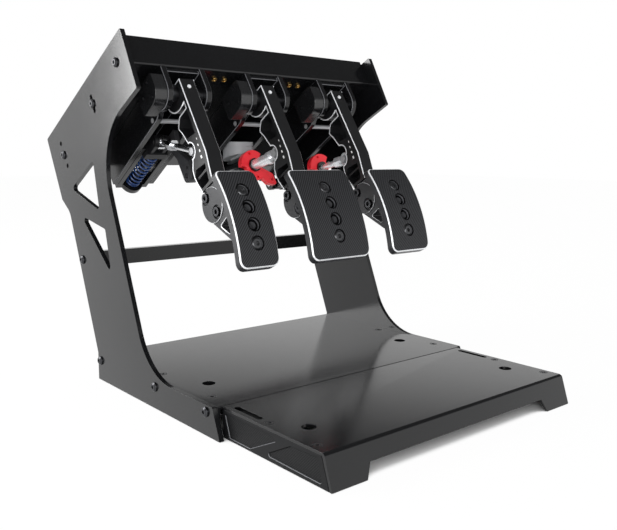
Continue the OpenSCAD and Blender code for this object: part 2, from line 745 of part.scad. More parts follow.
module clutch_spring() {
    color(blue) on_frame(0) translate([0, spring_a, -slide_z]) polyhedron(
        points = [for (p = path) each wire_ring(p)],
        faces = concat(
            [[0, 1, 2, 3, 4, 5]],
            [for (i = [0 : wire_n - 2], j = [0 : 5]) [6 * i + j, 6 * i + 6 + j, 6 * i + (j + 1) % 6]],
            [for (i = [0 : wire_n - 2], j = [0 : 5])
                [6 * i + 6 + j, 6 * i + 6 + (j + 1) % 6, 6 * i + (j + 1) % 6]],
            [[for (j = [5 : -1 : 0]) 6 * (wire_n - 1) + j]]));
}

// Brake and throttle linkages
rear_pin = [rear_s - axle_s, axle_z - rear_z];
neck_r = 9.5;
damper_a = 67;
wheel_a = damper_a - wheel_t - seat;
module damper(i, p) {
    len_l = norm(rear_pin - p);
    bore_r = (i == 1 ? ram_d : rod_d + 1) / 2 + seat;
    color(black) on_link(i, p, rear_pin) difference() {
        union() {
            along(wheel_a - 3, damper_a + 1, neck_r);
            along(damper_a, damper_a + 2, damper_d / 2 - 2);
            along(damper_a + 2, damper_a + damper_l, damper_d / 2);
            along(damper_a + damper_l - 1, len_l - 12, 9);
            block(-7, 7, len_l - 13, len_l, -7, 7);
            bar(-7, 7, [len_l, 0], 9);
        }
        along(wheel_a - 4, damper_a + damper_l - 5, bore_r);
        bar(-8, 8, [len_l, 0], pin_d / 2 + run);
        block(-16, 16, damper_a + 3, damper_a + 40, damper_d / 2 - 2, damper_d / 2 + 1);
    }
}
module brake_rod() {
    color(steel) on_link(1, brake_pin, rear_pin) difference() {
        union() {
            bar(-eye_x, eye_x, [0, 0], eye_r + open);
            along(7, 16, 5);
            along(14, 22, ram_d / 2 + 1.5);
            along(21, 104, ram_d / 2);
        }
        bar(-eye_x - 1, eye_x + 1, [0, 0], pin_d / 2 + open);
    }
}
module throttle_rod() {
    color(steel) on_link(2, throttle_pin, rear_pin) difference() {
        union() {
            bar(-eye_x, eye_x, [0, 0], eye_r + open);
            hex_along(12, 24, rod_d);
            along(7, 96, (rod_d + 1) / 2);
        }
        bar(-eye_x - 1, eye_x + 1, [0, 0], pin_d / 2 + open);
    }
}
// Points round an arc about the wheel's centre
function sweep(a0, a1, r) = [for (k = [0 : 12]) let (a = a0 + (a1 - a0) * k / 12) r * [cos(a), sin(a)]];
module wheel_line() {
    difference() {
        polygon(concat(sweep(-18, 44, neck_r + 4), sweep(50, 183, wheel_r), sweep(192, 232, neck_r + 4),
            sweep(238, 302, wheel_r), [[20, -27], [31, -29], [34, -27], [30, -13], [27, -11]]));
        circle(r = neck_r + run);
        for (a = [107, -80]) translate(0.8 * wheel_r * [cos(a), sin(a)]) circle(d = 4);
        translate([27, -21]) circle(d = 4);
    }
}
module wheel(i, p) {
    color(red) on_link(i, p, rear_pin) translate([0, wheel_a + wheel_t, 0]) rotate([90, 0, 0]) {
        linear_extrude(wheel_t) wheel_line();
    }
}
module clevis(i) {
    color(black) on_frame(i) difference() {
        union() {
            block(-frame_in / 2, frame_in / 2, rear_s - 14, frame_l, -38, -top_t);
            both() slab(7.5, 15) {
                translate([rear_s, -rear_z]) circle(r = 10);
                polygon([[rear_s - 10, -rear_z], [rear_s + 2, -rear_z],
                    [rear_s + 2, -37], [rear_s - 13, -37]]);
            }
        }
        bar(-16, 16, [rear_s, -rear_z], pin_d / 2 + run);
    }
}
module rear_pins() {
    color(steel) for (i = [1, 2]) on_frame(i) bar(-16.5, 16.5, [rear_s, -rear_z], pin_d / 2);
}
// Upright fluid reservoir with a foot on the flat of the brake damper
module brake_reservoir() {
    color(grey) {
        difference() {
            on_frame(1) translate([0, tank_o[0], tank_o[1]]) rotate([deck_tilt, 0, 0]) {
                translate([0, 0, -40]) cylinder(h = 40 + 9, d = tank_d);
                translate([0, 0, 8]) cylinder(h = 2.5, d = tank_d - 3);
                translate([0, 0, 10]) cylinder(h = 6, d = tank_d);
            }
            on_link(1, brake_pin, rear_pin) block(-60, 60, 0, 200, -80, damper_d / 2 + 1);
        }
        on_link(1, brake_pin, rear_pin) {
            block(-8, 8, damper_a + 5, damper_a + 36, damper_d / 2 - 2, damper_d / 2 + 3);
        }
    }
}

module clutch_frame() { frame(0); }
module brake_frame() { frame(1); }
module throttle_frame() { frame(2); }
module clutch_axle() { axle(0); }
module brake_axle() { axle(1); }
module throttle_axle() { axle(2); }
module clutch_sensor() { sensor(0); }
module brake_sensor() { sensor(1); }
module throttle_sensor() { sensor(2); }
module clutch_arm() { arm(0, [clutch_pin]); }
module brake_arm() { arm(1, [brake_pin]); }
module throttle_arm() { arm(2, [arm_k * [10, -79], throttle_pin]); }
module clutch_pad_bracket() { pad_bracket(0); }
module brake_pad_bracket() { pad_bracket(1); }
module throttle_pad_bracket() { pad_bracket(2); }
module clutch_bracket_screws() { bracket_screws(0); }
module brake_bracket_screws() { bracket_screws(1); }
module throttle_bracket_screws() { bracket_screws(2); }
module clutch_pad() { pad(0, clutch_w); }
module brake_pad() { pad(1, brake_w); }
module throttle_pad() { pad(2, throttle_w); }
module clutch_pad_screws() { pad_screws(0); }
module brake_pad_screws() { pad_screws(1); }
module throttle_pad_screws() { pad_screws(2); }
module clutch_pin_bolt() { pin_bolt(0, clutch_pin); }
module brake_pin_bolt() { pin_bolt(1, brake_pin); }
module throttle_pin_bolt() { pin_bolt(2, throttle_pin); }
module brake_damper() { damper(1, brake_pin); }
module throttle_damper() { damper(2, throttle_pin); }
module brake_wheel() { wheel(1, brake_pin); }
module throttle_wheel() { wheel(2, throttle_pin); }
module brake_clevis() { clevis(1); }
module throttle_clevis() { clevis(2); }

left_side_plate();
right_side_plate();
cross_bar();
base_plate();
heel_plate();
left_heel_cover();
right_heel_cover();
floor_rails();
side_screws();
floor_screws();
deck_tray();
deck_bolts();
deck_inserts();
pivot_spacers();
tie_bars();
rear_pins();
clutch_frame();
clutch_axle();
clutch_sensor();
clutch_arm();
clutch_pad_bracket();
clutch_bracket_screws();
clutch_pad();
clutch_pad_screws();
clutch_pin_bolt();
clutch_rod();
clutch_slider();
clutch_spring();
clutch_cradle();
clutch_hanger();
brake_frame();
brake_axle();
brake_sensor();
brake_arm();
brake_pad_bracket();
brake_bracket_screws();
brake_pad();
brake_pad_screws();
brake_pin_bolt();
brake_rod();
brake_damper();
brake_wheel();
brake_clevis();
brake_reservoir();
throttle_frame();
throttle_axle();
throttle_sensor();
throttle_arm();
throttle_pad_bracket();
throttle_bracket_screws();
throttle_pad();
throttle_pad_screws();
throttle_pin_bolt();
throttle_rod();
throttle_damper();
throttle_wheel();
throttle_clevis();
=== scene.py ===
"""Looks of a hanging sim racing pedal set: floor stand, sloping deck, three pedals and their linkages."""

import collections
import json
import math

import bmesh
import bpy
from mathutils import Matrix, Vector


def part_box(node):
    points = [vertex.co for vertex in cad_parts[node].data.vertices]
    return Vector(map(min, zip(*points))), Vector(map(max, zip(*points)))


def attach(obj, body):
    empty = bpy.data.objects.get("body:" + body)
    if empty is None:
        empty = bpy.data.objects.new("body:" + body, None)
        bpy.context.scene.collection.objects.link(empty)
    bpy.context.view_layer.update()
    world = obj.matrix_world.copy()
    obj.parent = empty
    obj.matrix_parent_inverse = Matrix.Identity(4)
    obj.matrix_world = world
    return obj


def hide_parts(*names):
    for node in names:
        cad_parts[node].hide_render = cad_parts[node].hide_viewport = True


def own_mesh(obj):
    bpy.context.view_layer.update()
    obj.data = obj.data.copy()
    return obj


bl_info = {
    "name": "Hanging pedal set",
    "version": (1, 0, 0),
    "blender": (4, 5, 0),
    "location": "View3D > Sidebar > Pedals",
    "description": "Dresses the frame of a hanging sim racing pedal set",
    "category": "Object",
}

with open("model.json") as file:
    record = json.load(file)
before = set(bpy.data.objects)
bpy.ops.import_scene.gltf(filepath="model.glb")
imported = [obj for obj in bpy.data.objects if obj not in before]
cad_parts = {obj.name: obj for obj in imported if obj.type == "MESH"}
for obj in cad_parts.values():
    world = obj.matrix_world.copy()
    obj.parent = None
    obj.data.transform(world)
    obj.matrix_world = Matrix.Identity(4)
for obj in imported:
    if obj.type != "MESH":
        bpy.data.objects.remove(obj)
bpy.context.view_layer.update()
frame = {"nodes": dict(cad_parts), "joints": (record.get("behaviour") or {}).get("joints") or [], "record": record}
joints = {j["name"]: j for j in frame["joints"]}
homes = {n: b for b, ns in frame["record"]["behaviour"]["bodies"].items() for n in ns}
pedals = ("clutch", "brake", "throttle")

MM = 0.001
# Points nearer than these are one point: in a copy of a CAD node, and after its edges are cut
SAME_POINT = 2e-6
SAME_CUT_POINT = 4e-7
# Degrees: an edge that turns more than the first is broken, and one that turns less than the second is smooth
SHARP_ANGLE = 32.0
SMOOTH_ANGLE = 40.0
# Cosines of directions that count as the same, and as square to each other
SAME_WAY = 0.9
SQUARE = 0.3

# Directions along the deck and up from it, and the places of the three axles
along = Vector(joints["clutch_slide"]["axis"]).normalized()
upward = Vector((0, -along.z, along.y))
axles = {p: Vector(joints[p + "_press"]["pos_m"]) for p in pedals}


def from_axle(pedal, x, a, h):
    """A point given from a pedal's axle: across, along the deck and up from it, in millimetres."""
    return axles[pedal] + Vector((x * MM, 0, 0)) + along * (a * MM) + upward * (h * MM)


def beside(pedal, point):
    """Across, along the deck and up from it, in millimetres, of a point seen from a pedal's axle."""
    d = (point - axles[pedal]) / MM
    return Vector((d.x, d.dot(along), d.dot(upward)))


def set_at(pedal, x, a, h, facing):
    """A placement at a point from a pedal's axle, its Z facing a direction and its X across the pedal or up."""
    z = facing.normalized()
    x_axis = Vector((1, 0, 0)) if abs(z.x) < SAME_WAY else upward
    turn = Matrix((x_axis, z.cross(x_axis), z)).transposed()
    return Matrix.Translation(from_axle(pedal, x, a, h)) @ turn.to_4x4()


# Sizes and colours


def length(name, words, metres):
    """A length for the panel."""
    return bpy.props.FloatProperty(name=name, description=words, default=metres, unit="LENGTH")


def colour(name, words, rgb):
    """A colour for the panel."""
    return bpy.props.FloatVectorProperty(
        name=name, description=words, subtype="COLOR", size=3, min=0, max=1, default=rgb
    )


class PedalSizes(bpy.types.PropertyGroup):
    """Sizes of the finish"""

    sheet_edge: length("Sheet edge", "Width of the broken edge of plates and trays", 0.0005)
    seam_edge: length("Seam edge", "Width of the broken edge where the two trays meet", 0.0009)
    bend: length("Bend", "Radius of the folds of trays and deck", 0.003)
    bright_edge: length("Bright edge", "Width of the bright chamfer of the arms", 0.001)
    rim: length("Rim", "Width of the bright band along the back of the arms", 0.0016)
    hole_rim: length("Hole rim", "Width of the sloping rim of the holes in the pads", 0.0014)
    pad_rim: length("Pad rim", "Width of the bright chamfer round the pads", 0.0014)
    weave: length("Weave", "Width of one strand of the weave on the pads", 0.0009)


class PedalColours(bpy.types.PropertyGroup):
    """Colours of the finishes"""

    coat: colour("Coat", "Powder coat of the stand", (0.005, 0.0052, 0.0058))
    plastic: colour("Plastic", "Black plastic of covers and sensors", (0.006, 0.0062, 0.0068))
    arm: colour("Arm", "Dark anodised arms", (0.008, 0.0082, 0.009))
    pad: colour("Pad", "Dark strands of the pads", (0.008, 0.0082, 0.009))
    cheek: colour("Cheek", "Satin pad brackets and pad walls", (0.032, 0.0325, 0.035))
    bright: colour("Bright", "Machined edges and bright steel", (0.72, 0.73, 0.75))
    aluminium: colour("Aluminium", "Tie bars and pins", (0.42, 0.425, 0.44))
    dark_steel: colour("Dark steel", "Blackened screws", (0.06, 0.061, 0.065))
    pad_screw: colour("Pad screw", "Screws in the holes of the pads", (0.07, 0.071, 0.075))
    gold: colour("Gold", "Eyelets of the deck", (0.4, 0.26, 0.09))
    red: colour("Red", "Anodised adjuster wheels", (1.0, 0.025, 0.04))
    blue: colour("Blue", "Painted clutch spring", (0.012, 0.045, 0.17))
    grey: colour("Grey", "Fluid reservoir", (0.31, 0.316, 0.328))
    mark: colour("Mark", "Painted marks of the arms", (0.85, 0.85, 0.85))


def sizes():
    return bpy.context.scene.pedal_sizes


def colours():
    return bpy.context.scene.pedal_colours


# Finishes


class Finish:
    """A material's nodes, with short ways to add and join them."""

    def __init__(self, name):
        self.material = bpy.data.materials.new(name)
        self.material.use_nodes = True
        self.tree = self.material.node_tree
        self.shader = self.tree.nodes["Principled BSDF"]
        self.coords = self.tree.nodes.new("ShaderNodeTexCoord").outputs["Object"]

    def add(self, kind, **settings):
        node = self.tree.nodes.new("ShaderNode" + kind)
        for key, value in settings.items():
            setattr(node, key, value)
        return node

    def feed(self, value, socket):
        if isinstance(value, bpy.types.NodeSocket):
            self.tree.links.new(value, socket)
        else:
            socket.default_value = value

    def placed(self, scale=(1, 1, 1), turn=(0, 0, 0)):
        node = self.add("Mapping")
        node.inputs["Scale"].default_value = scale
        node.inputs["Rotation"].default_value = turn
        self.feed(self.coords, node.inputs["Vector"])
        return node.outputs["Vector"]

    def noise(self, scale, detail=2.0, vector=None):
        node = self.add("TexNoise")
        node.inputs["Scale"].default_value = scale
        node.inputs["Detail"].default_value = detail
        self.feed(vector or self.coords, node.inputs["Vector"])
        return node.outputs["Fac"]

    def math(self, operation, a, b=0.0):
        node = self.add("Math", operation=operation)
        self.feed(a, node.inputs[0])
        self.feed(b, node.inputs[1])
        return node.outputs[0]

    def span(self, value, low, high, start=0.0, end=1.0):
        node = self.add("MapRange")
        for key, v in zip(("From Min", "From Max", "To Min", "To Max"), (start, end, low, high)):
            node.inputs[key].default_value = v
        self.feed(value, node.inputs["Value"])
        return node.outputs["Result"]

    def tones(self, value, low, high):
        node = self.add("Mix", data_type="RGBA")
        self.feed(value, node.inputs["Factor"])
        self.feed((*low, 1), node.inputs["A"])
        self.feed((*high, 1), node.inputs["B"])
        return node.outputs["Result"]

    def relief(self, height, strength, depth):
        node = self.add("Bump")
        node.inputs["Strength"].default_value = strength
        node.inputs["Distance"].default_value = depth
        self.feed(height, node.inputs["Height"])
        self.feed(node.outputs["Normal"], self.shader.inputs["Normal"])

    def set(self, **values):
        for key, value in values.items():
            self.feed(value, self.shader.inputs[key.replace("_", " ")])
        return self.material


def shade(rgb, factor):
    """A colour made darker or lighter."""
    return tuple(min(1.0, c * factor) for c in rgb)


def coated(name, rgb, grain, mottle, rough, **more):
    """A finish with a fine grain, a mottled colour and an uneven gloss.

    Each of the three starts with a noise's scale and detail. Grain goes on with the strength and depth of its
    relief, mottle with the factors on the colour, and rough with the roughnesses that the noise runs between.
    """
    f = Finish(name)
    f.relief(f.noise(*grain[:2]), *grain[2:])
    dark, light = (shade(rgb, factor) for factor in mottle[2:])
    return f.set(
        Base_Color=f.tones(f.noise(*mottle[:2]), dark, light),
        Roughness=f.span(f.noise(*rough[:2]), *rough[2:]),
        **more,
    )


def powder_coat():
    return coated(
        "powder_coat",
        colours().coat,
        grain=(1500, 2, 0.06, 0.0002),
        mottle=(9, 4, 0.75, 1.3),
        rough=(60, 3, 0.13, 0.18),
        Specular_IOR_Level=0.36,
        Coat_Weight=0.18,
        Coat_Roughness=0.12,
    )


def cover_plastic():
    return coated(
        "cover_plastic",
        colours().plastic,
        grain=(2200, 1, 0.25, 0.0002),
        mottle=(30, 3, 0.8, 1.3),
        rough=(120, 2, 0.42, 0.52),
        Specular_IOR_Level=0.15,
    )


def sensor_plastic():
    return coated(
        "sensor_plastic",
        colours().plastic,
        grain=(1600, 1, 0.08, 0.0001),
        mottle=(30, 3, 1.2, 1.8),
        rough=(120, 2, 0.2, 0.28),
        Specular_IOR_Level=0.8,
    )


def ribbed_plastic():
    """Fine raised grid in the recesses of the heel covers."""
    f = Finish("ribbed_plastic")
    c = colours().plastic
    per_metre, slant = 1500, math.radians(45)
    split = f.add("SeparateXYZ")
    f.feed(f.placed((1, per_metre, per_metre), (slant, 0, 0)), split.inputs[0])
    waves = [f.math("ABSOLUTE", f.math("SINE", split.outputs[axis])) for axis in ("Y", "Z")]
    grid = f.math("MULTIPLY", *waves)
    f.relief(grid, strength=0.6, depth=0.0003)
    return f.set(
        Base_Color=f.tones(grid, shade(c, 0.6), shade(c, 1.6)),
        Roughness=f.span(grid, low=0.6, high=0.48),
        Specular_IOR_Level=0.15,
    )


def dark_anodised():
    return coated(
        "dark_anodised",
        colours().arm,
        grain=(2600, 1, 0.1, 0.0001),
        mottle=(25, 3, 0.8, 1.25),
        rough=(90, 3, 0.36, 0.46),
        Specular_IOR_Level=0.42,
    )


def satin_black(name, rgb, sheen=0.3):
    return coated(
        name,
        rgb,
        grain=(2600, 1, 0.1, 0.0001),
        mottle=(25, 3, 0.85, 1.2),
        rough=(90, 3, 0.34, 0.44),
        Specular_IOR_Level=sheen,
    )


def cheek_anodised():
    return satin_black("cheek_anodised", colours().cheek)


def painted_hole_shade():
    """Painted shade: a near black put inside holes, slots and recesses, where shade falls."""
    return satin_black("painted_hole_shade", shade(colours().arm, 0.25), sheen=0.03)


def painted_lit_wall():
    """Painted light: the walls of the holes in the pads made paler, as if lit from the side."""
    return satin_black("painted_lit_wall", shade(colours().cheek, 2.4))


def painted_edge_highlight():
    """Painted highlight: paler edges on the pedal frames and heel covers, where light catches them."""
    return satin_black("painted_edge_highlight", shade(colours().cheek, 3.5))


def metal(name, rgb, rough, stretch, metallic=1.0):
    """A metal with fine lines, or even grain where the stretch is the same all ways."""
    f = Finish(name)
    lines = f.noise(1, 3, f.placed(stretch))
    f.relief(lines, strength=0.06, depth=0.0001)
    return f.set(
        Base_Color=f.tones(f.noise(35, 3), shade(rgb, 0.9), shade(rgb, 1.08)),
        Metallic=metallic,
        Roughness=f.span(lines, *rough),
    )


def bright_metal():
    return metal("bright_metal", colours().bright, rough=(0.16, 0.3), stretch=(900, 40, 900))


def rod_steel():
    """Turned rods, matt enough to stay pale beside the red wheels."""
    pale = shade(colours().bright, 1.2)
    return metal("rod_steel", pale, rough=(0.2, 0.32), stretch=(900, 900, 900), metallic=0.6)


def cut_edge():
    """Freshly machined aluminium, matt enough to show bright from any side."""
    pale = shade(colours().bright, 1.2)
    return metal("cut_edge", pale, rough=(0.36, 0.48), stretch=(600, 600, 600), metallic=0.35)


def brushed_aluminium():
    tint = colours().aluminium
    return metal("brushed_aluminium", tint, rough=(0.34, 0.46), stretch=(900, 900, 60), metallic=0.5)


def dark_steel():
    return metal("dark_steel", colours().dark_steel, rough=(0.26, 0.38), stretch=(500, 500, 500))


def screw_steel():
    tint = colours().pad_screw
    return metal("screw_steel", tint, rough=(0.26, 0.38), stretch=(500, 500, 500), metallic=0.8)


def red_anodised():
    return metal("red_anodised", colours().red, rough=(0.28, 0.4), stretch=(500, 500, 500), metallic=0.1)


def gold_plate():
    return metal("gold_plate", colours().gold, rough=(0.2, 0.3), stretch=(700, 700, 700))


def spring_paint():
    return coated(
        "spring_paint",
        colours().blue,
        grain=(900, 2, 0.08, 0.0001),
        mottle=(140, 3, 0.8, 1.25),
        rough=(300, 2, 0.24, 0.34),
        Coat_Weight=0.7,
    )


def reservoir_grey():
    return coated(
        "reservoir_grey",
        colours().grey,
        grain=(1800, 1, 0.12, 0.0001),
        mottle=(40, 3, 0.93, 1.07),
        rough=(200, 2, 0.42, 0.52),
    )


def white_paint():
    f = Finish("white_paint")
    c = colours().mark
    worn = 0.7 / 0.85
    return f.set(Base_Color=f.tones(f.noise(400, 2), shade(c, worn), c), Roughness=0.5)


def pad_weave():
    """Two by two twill of flat strands, lying on the pad's face."""
    f = Finish("pad_weave")
    c = colours().pad
    per_metre = 1 / sizes().weave
    repeat, half_repeat = 4.0, 1.5
    split = f.add("SeparateXYZ")
    f.feed(f.placed((per_metre, per_metre, per_metre)), split.inputs[0])
    u, v = split.outputs["X"], split.outputs["Z"]
    cell = f.math("SUBTRACT", f.math("FLOOR", u), f.math("FLOOR", v))
    warp = f.math("LESS_THAN", f.math("FLOORED_MODULO", cell, repeat), half_repeat)
    over = f.add("Mix", data_type="FLOAT")
    f.feed(warp, over.inputs["Factor"])
    for socket, across in (("A", v), ("B", u)):
        f.feed(f.math("PINGPONG", f.math("FRACT", across), 0.5), over.inputs[socket])
    crown = over.outputs["Result"]
    f.relief(crown, strength=0.5, depth=0.0003)
    light = f.math("ADD", f.math("MULTIPLY", warp, 0.7), f.math("MULTIPLY", crown, 0.5))
    return f.set(
        Base_Color=f.tones(light, shade(c, 0.15), shade(c, 5.5)),
        Roughness=f.span(f.noise(500, 2), low=0.4, high=0.52),
        Specular_IOR_Level=0.22,
    )


finishes = {
    f.__name__: f
    for f in (
        powder_coat,
        cover_plastic,
        ribbed_plastic,
        sensor_plastic,
        dark_anodised,
        cheek_anodised,
        painted_hole_shade,
        painted_edge_highlight,
        painted_lit_wall,
        dark_steel,
        screw_steel,
        bright_metal,
        cut_edge,
        red_anodised,
        gold_plate,
        brushed_aluminium,
        rod_steel,
        spring_paint,
        reservoir_grey,
        white_paint,
        pad_weave,
    )
}


def finish(name):
    """The material of a finish, made when it is first asked for."""
    return bpy.data.materials.get(name) or finishes[name]()


# Shaping


def piece(name, bm, body, *names, smooth=SMOOTH_ANGLE):
    """Makes an object of a finished bmesh and lets it ride on a body."""
    mesh = bpy.data.meshes.new(name)
    bm.to_mesh(mesh)
    bm.free()
    for n in names:
        mesh.materials.append(finish(n))
    mesh.shade_smooth()
    mesh.set_sharp_from_angle(angle=math.radians(smooth))
    obj = bpy.data.objects.new(name, mesh)
    bpy.context.scene.collection.objects.link(obj)
    even = obj.modifiers.new("even_normals", "WEIGHTED_NORMAL")
    even.keep_sharp = True
    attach(obj, body)
    return obj


def solid_of(node):
    """A joined copy of a CAD node, with its flat faces whole."""
    flat = math.radians(0.3)
    bm = bmesh.new()
    bm.from_mesh(frame["nodes"][node].data)
    bmesh.ops.remove_doubles(bm, verts=bm.verts, dist=SAME_POINT)
    bmesh.ops.dissolve_limit(
        bm,
        angle_limit=flat,
        use_dissolve_boundaries=False,
        verts=bm.verts,
        edges=bm.edges,
        delimit=set(),
    )
    return bm


def sharp(bm):
    """The edges that are sharp enough to be broken."""
    limit = math.radians(SHARP_ANGLE)
    return [e for e in bm.edges if len(e.link_faces) == 2 and e.calc_face_angle(0) > limit]


def break_edges(bm, edges, width, segments=2, clamp=True):
    """Bevels edges and gives back the new faces."""
    return bmesh.ops.bevel(
        bm,
        geom=edges,
        offset=width,
        offset_type="OFFSET",
        segments=segments,
        profile=0.5,
        affect="EDGES",
        clamp_overlap=clamp,
        material=-1,
    )["faces"]


# A cut along the edges that pick says yes to, and the name of its finish
Cut = collections.namedtuple("Cut", "pick width segments finish")


def dressed(node, *names, width=0.0004, cuts=(), paint=None, smooth=SMOOTH_ANGLE):
    """A CAD node with broken edges, in its finishes.

    The cuts come first, and the other sharp edges are then broken by width. Paint, if any, is given each face
    with the name of its finish, and gives back the name of the one it gets.
    """
    bm = solid_of(node)
    done = set()
    for cut in cuts:
        edges = [e for e in sharp(bm) if cut.pick(e)]
        for face in break_edges(bm, edges, cut.width, cut.segments, clamp=False):
            face.material_index = names.index(cut.finish)
            done.add(face)
    break_edges(bm, [e for e in sharp(bm) if done.isdisjoint(e.link_faces)], width)
    bmesh.ops.remove_doubles(bm, verts=bm.verts, dist=SAME_CUT_POINT)
    if paint:
        for face in bm.faces:
            face.material_index = names.index(paint(face, names[face.material_index]))
    obj = piece(node + "_look", bm, homes[node], *names, smooth=smooth)
    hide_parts(node)
    return obj


def middle(edge):
    return (edge.verts[0].co + edge.verts[1].co) / 2


def direction(edge):
    return (edge.verts[0].co - edge.verts[1].co).normalized()


def pedal_of(node):
    return next(p for p in pedals if node.startswith(p))


def line_at(pedal, a, h):
    """Picks the edges along X at a place from an axle, such as a fold of the deck."""
    straight, reach = 0.99, 1.0

    def pick(edge):
        place = beside(pedal, middle(edge))
        across = abs(direction(edge).x) > straight
        return across and abs(place.y - a) < reach and abs(place.z - h) < reach

    return pick


def wall_of(edge):
    """The wall that an edge of a flat side turns down to, or None."""
    flat = [f for f in edge.link_faces if abs(f.normal.x) > SAME_WAY]
    wall = [f for f in edge.link_faces if abs(f.normal.x) < SQUARE]
    return wall[0] if flat and wall and edge.is_convex else None


def rims(pedal, least, hollows, front=-1.0, back=1.0, lowest=-300.0):
    """Picks the outer edges of the flat sides of a pedal's piece, and leaves out the rims of its hollows.

    Least is how far across from the axle's middle the sides lie. A hollow is its middle, along and up from the
    axle, and its reach. Front and back limit which way the wall at the edge may face along the deck, and lowest
    how far down the edge may lie.
    """

    def pick(edge):
        wall = wall_of(edge)
        place = beside(pedal, middle(edge))
        if wall is None or abs(place.x) < least or place.z < lowest:
            return False
        out = Vector((wall.normal.dot(along), wall.normal.dot(upward)))
        for a, h, reach in hollows:
            inward = Vector((a, h)) - place.yz
            if inward.length < reach and out.dot(inward) > 0:
                return False
        return front <= out.x <= back

    return pick


def points_of(geom):
    return [g for g in geom if isinstance(g, bmesh.types.BMVert)]


def bright_band(name, node, pick, width):
    """A thin bright band along picked edges, lying on the flat sides of a CAD node."""
    sunk, proud = 0.0003, 0.00006
    mitre = 0.4
    bm = solid_of(node)
    edges = [e for e in sharp(bm) if pick(e)]
    outward = {}
    for edge in edges:
        for v in edge.verts:
            outward.setdefault(v.co.copy().freeze(), []).append(wall_of(edge).normal.copy())
    kept = set(edges)
    bmesh.ops.delete(bm, geom=list(bm.faces), context="FACES_ONLY")
    bmesh.ops.delete(bm, geom=[e for e in bm.edges if e not in kept], context="EDGES")
    grown = bmesh.ops.extrude_edge_only(bm, edges=list(bm.edges))["geom"]
    for v in points_of(grown):
        walls = outward[v.co.copy().freeze()]
        mean = sum(walls, Vector()) / len(walls)
        v.co -= mean * (width / max(mean.length_squared, mitre))
    centre = axles[pedal_of(node)].x
    for v in bm.verts:
        v.co.x -= math.copysign(sunk, v.co.x - centre)
    grown = bmesh.ops.extrude_face_region(bm, geom=list(bm.faces))["geom"]
    for v in points_of(grown):
        v.co.x += math.copysign(sunk + proud, v.co.x - centre)
    bmesh.ops.recalc_face_normals(bm, faces=bm.faces)
    band = piece(name, bm, homes[node], "cut_edge")
    return band


def small_screw(bm, place, radius, height):
    """A low screw head with a socket, standing on a placement's Z."""
    sides, rounding = 20, height * 0.35
    wall, draft, depth = radius * 0.4, radius * 0.04, height * 0.6
    level = 0.999
    made = bmesh.ops.create_cone(
        bm,
        cap_ends=True,
        segments=sides,
        radius1=radius,
        radius2=radius,
        depth=height,
        matrix=place @ Matrix.Translation((0, 0, height / 2)),
    )
    facing = (place.to_3x3() @ Vector((0, 0, 1))).normalized()
    faces = {f for v in made["verts"] for f in v.link_faces}
    top = max(faces, key=lambda f: f.normal.dot(facing) + f.calc_center_median().dot(facing))
    break_edges(bm, list(top.edges), rounding)
    faces = {f for v in bm.verts if v.is_valid for f in v.link_faces if f.normal.dot(facing) > level}
    top = min(faces, key=lambda f: (f.calc_center_median() - place.translation - facing * height).length)
    bmesh.ops.inset_region(bm, faces=[top], thickness=wall, depth=0, use_even_offset=True)
    bmesh.ops.inset_region(bm, faces=[top], thickness=draft, depth=-depth, use_even_offset=True)


# Pieces


class PEDALS_OT_stand(bpy.types.Operator):
    """Side plates and cross bar"""

    bl_idname = "pedals.stand"
    bl_label = "Stand"

    def execute(self, context):
        for node in ("left_side_plate", "right_side_plate", "cross_bar"):
            dressed(node, "powder_coat", width=sizes().sheet_edge)
        return {"FINISHED"}


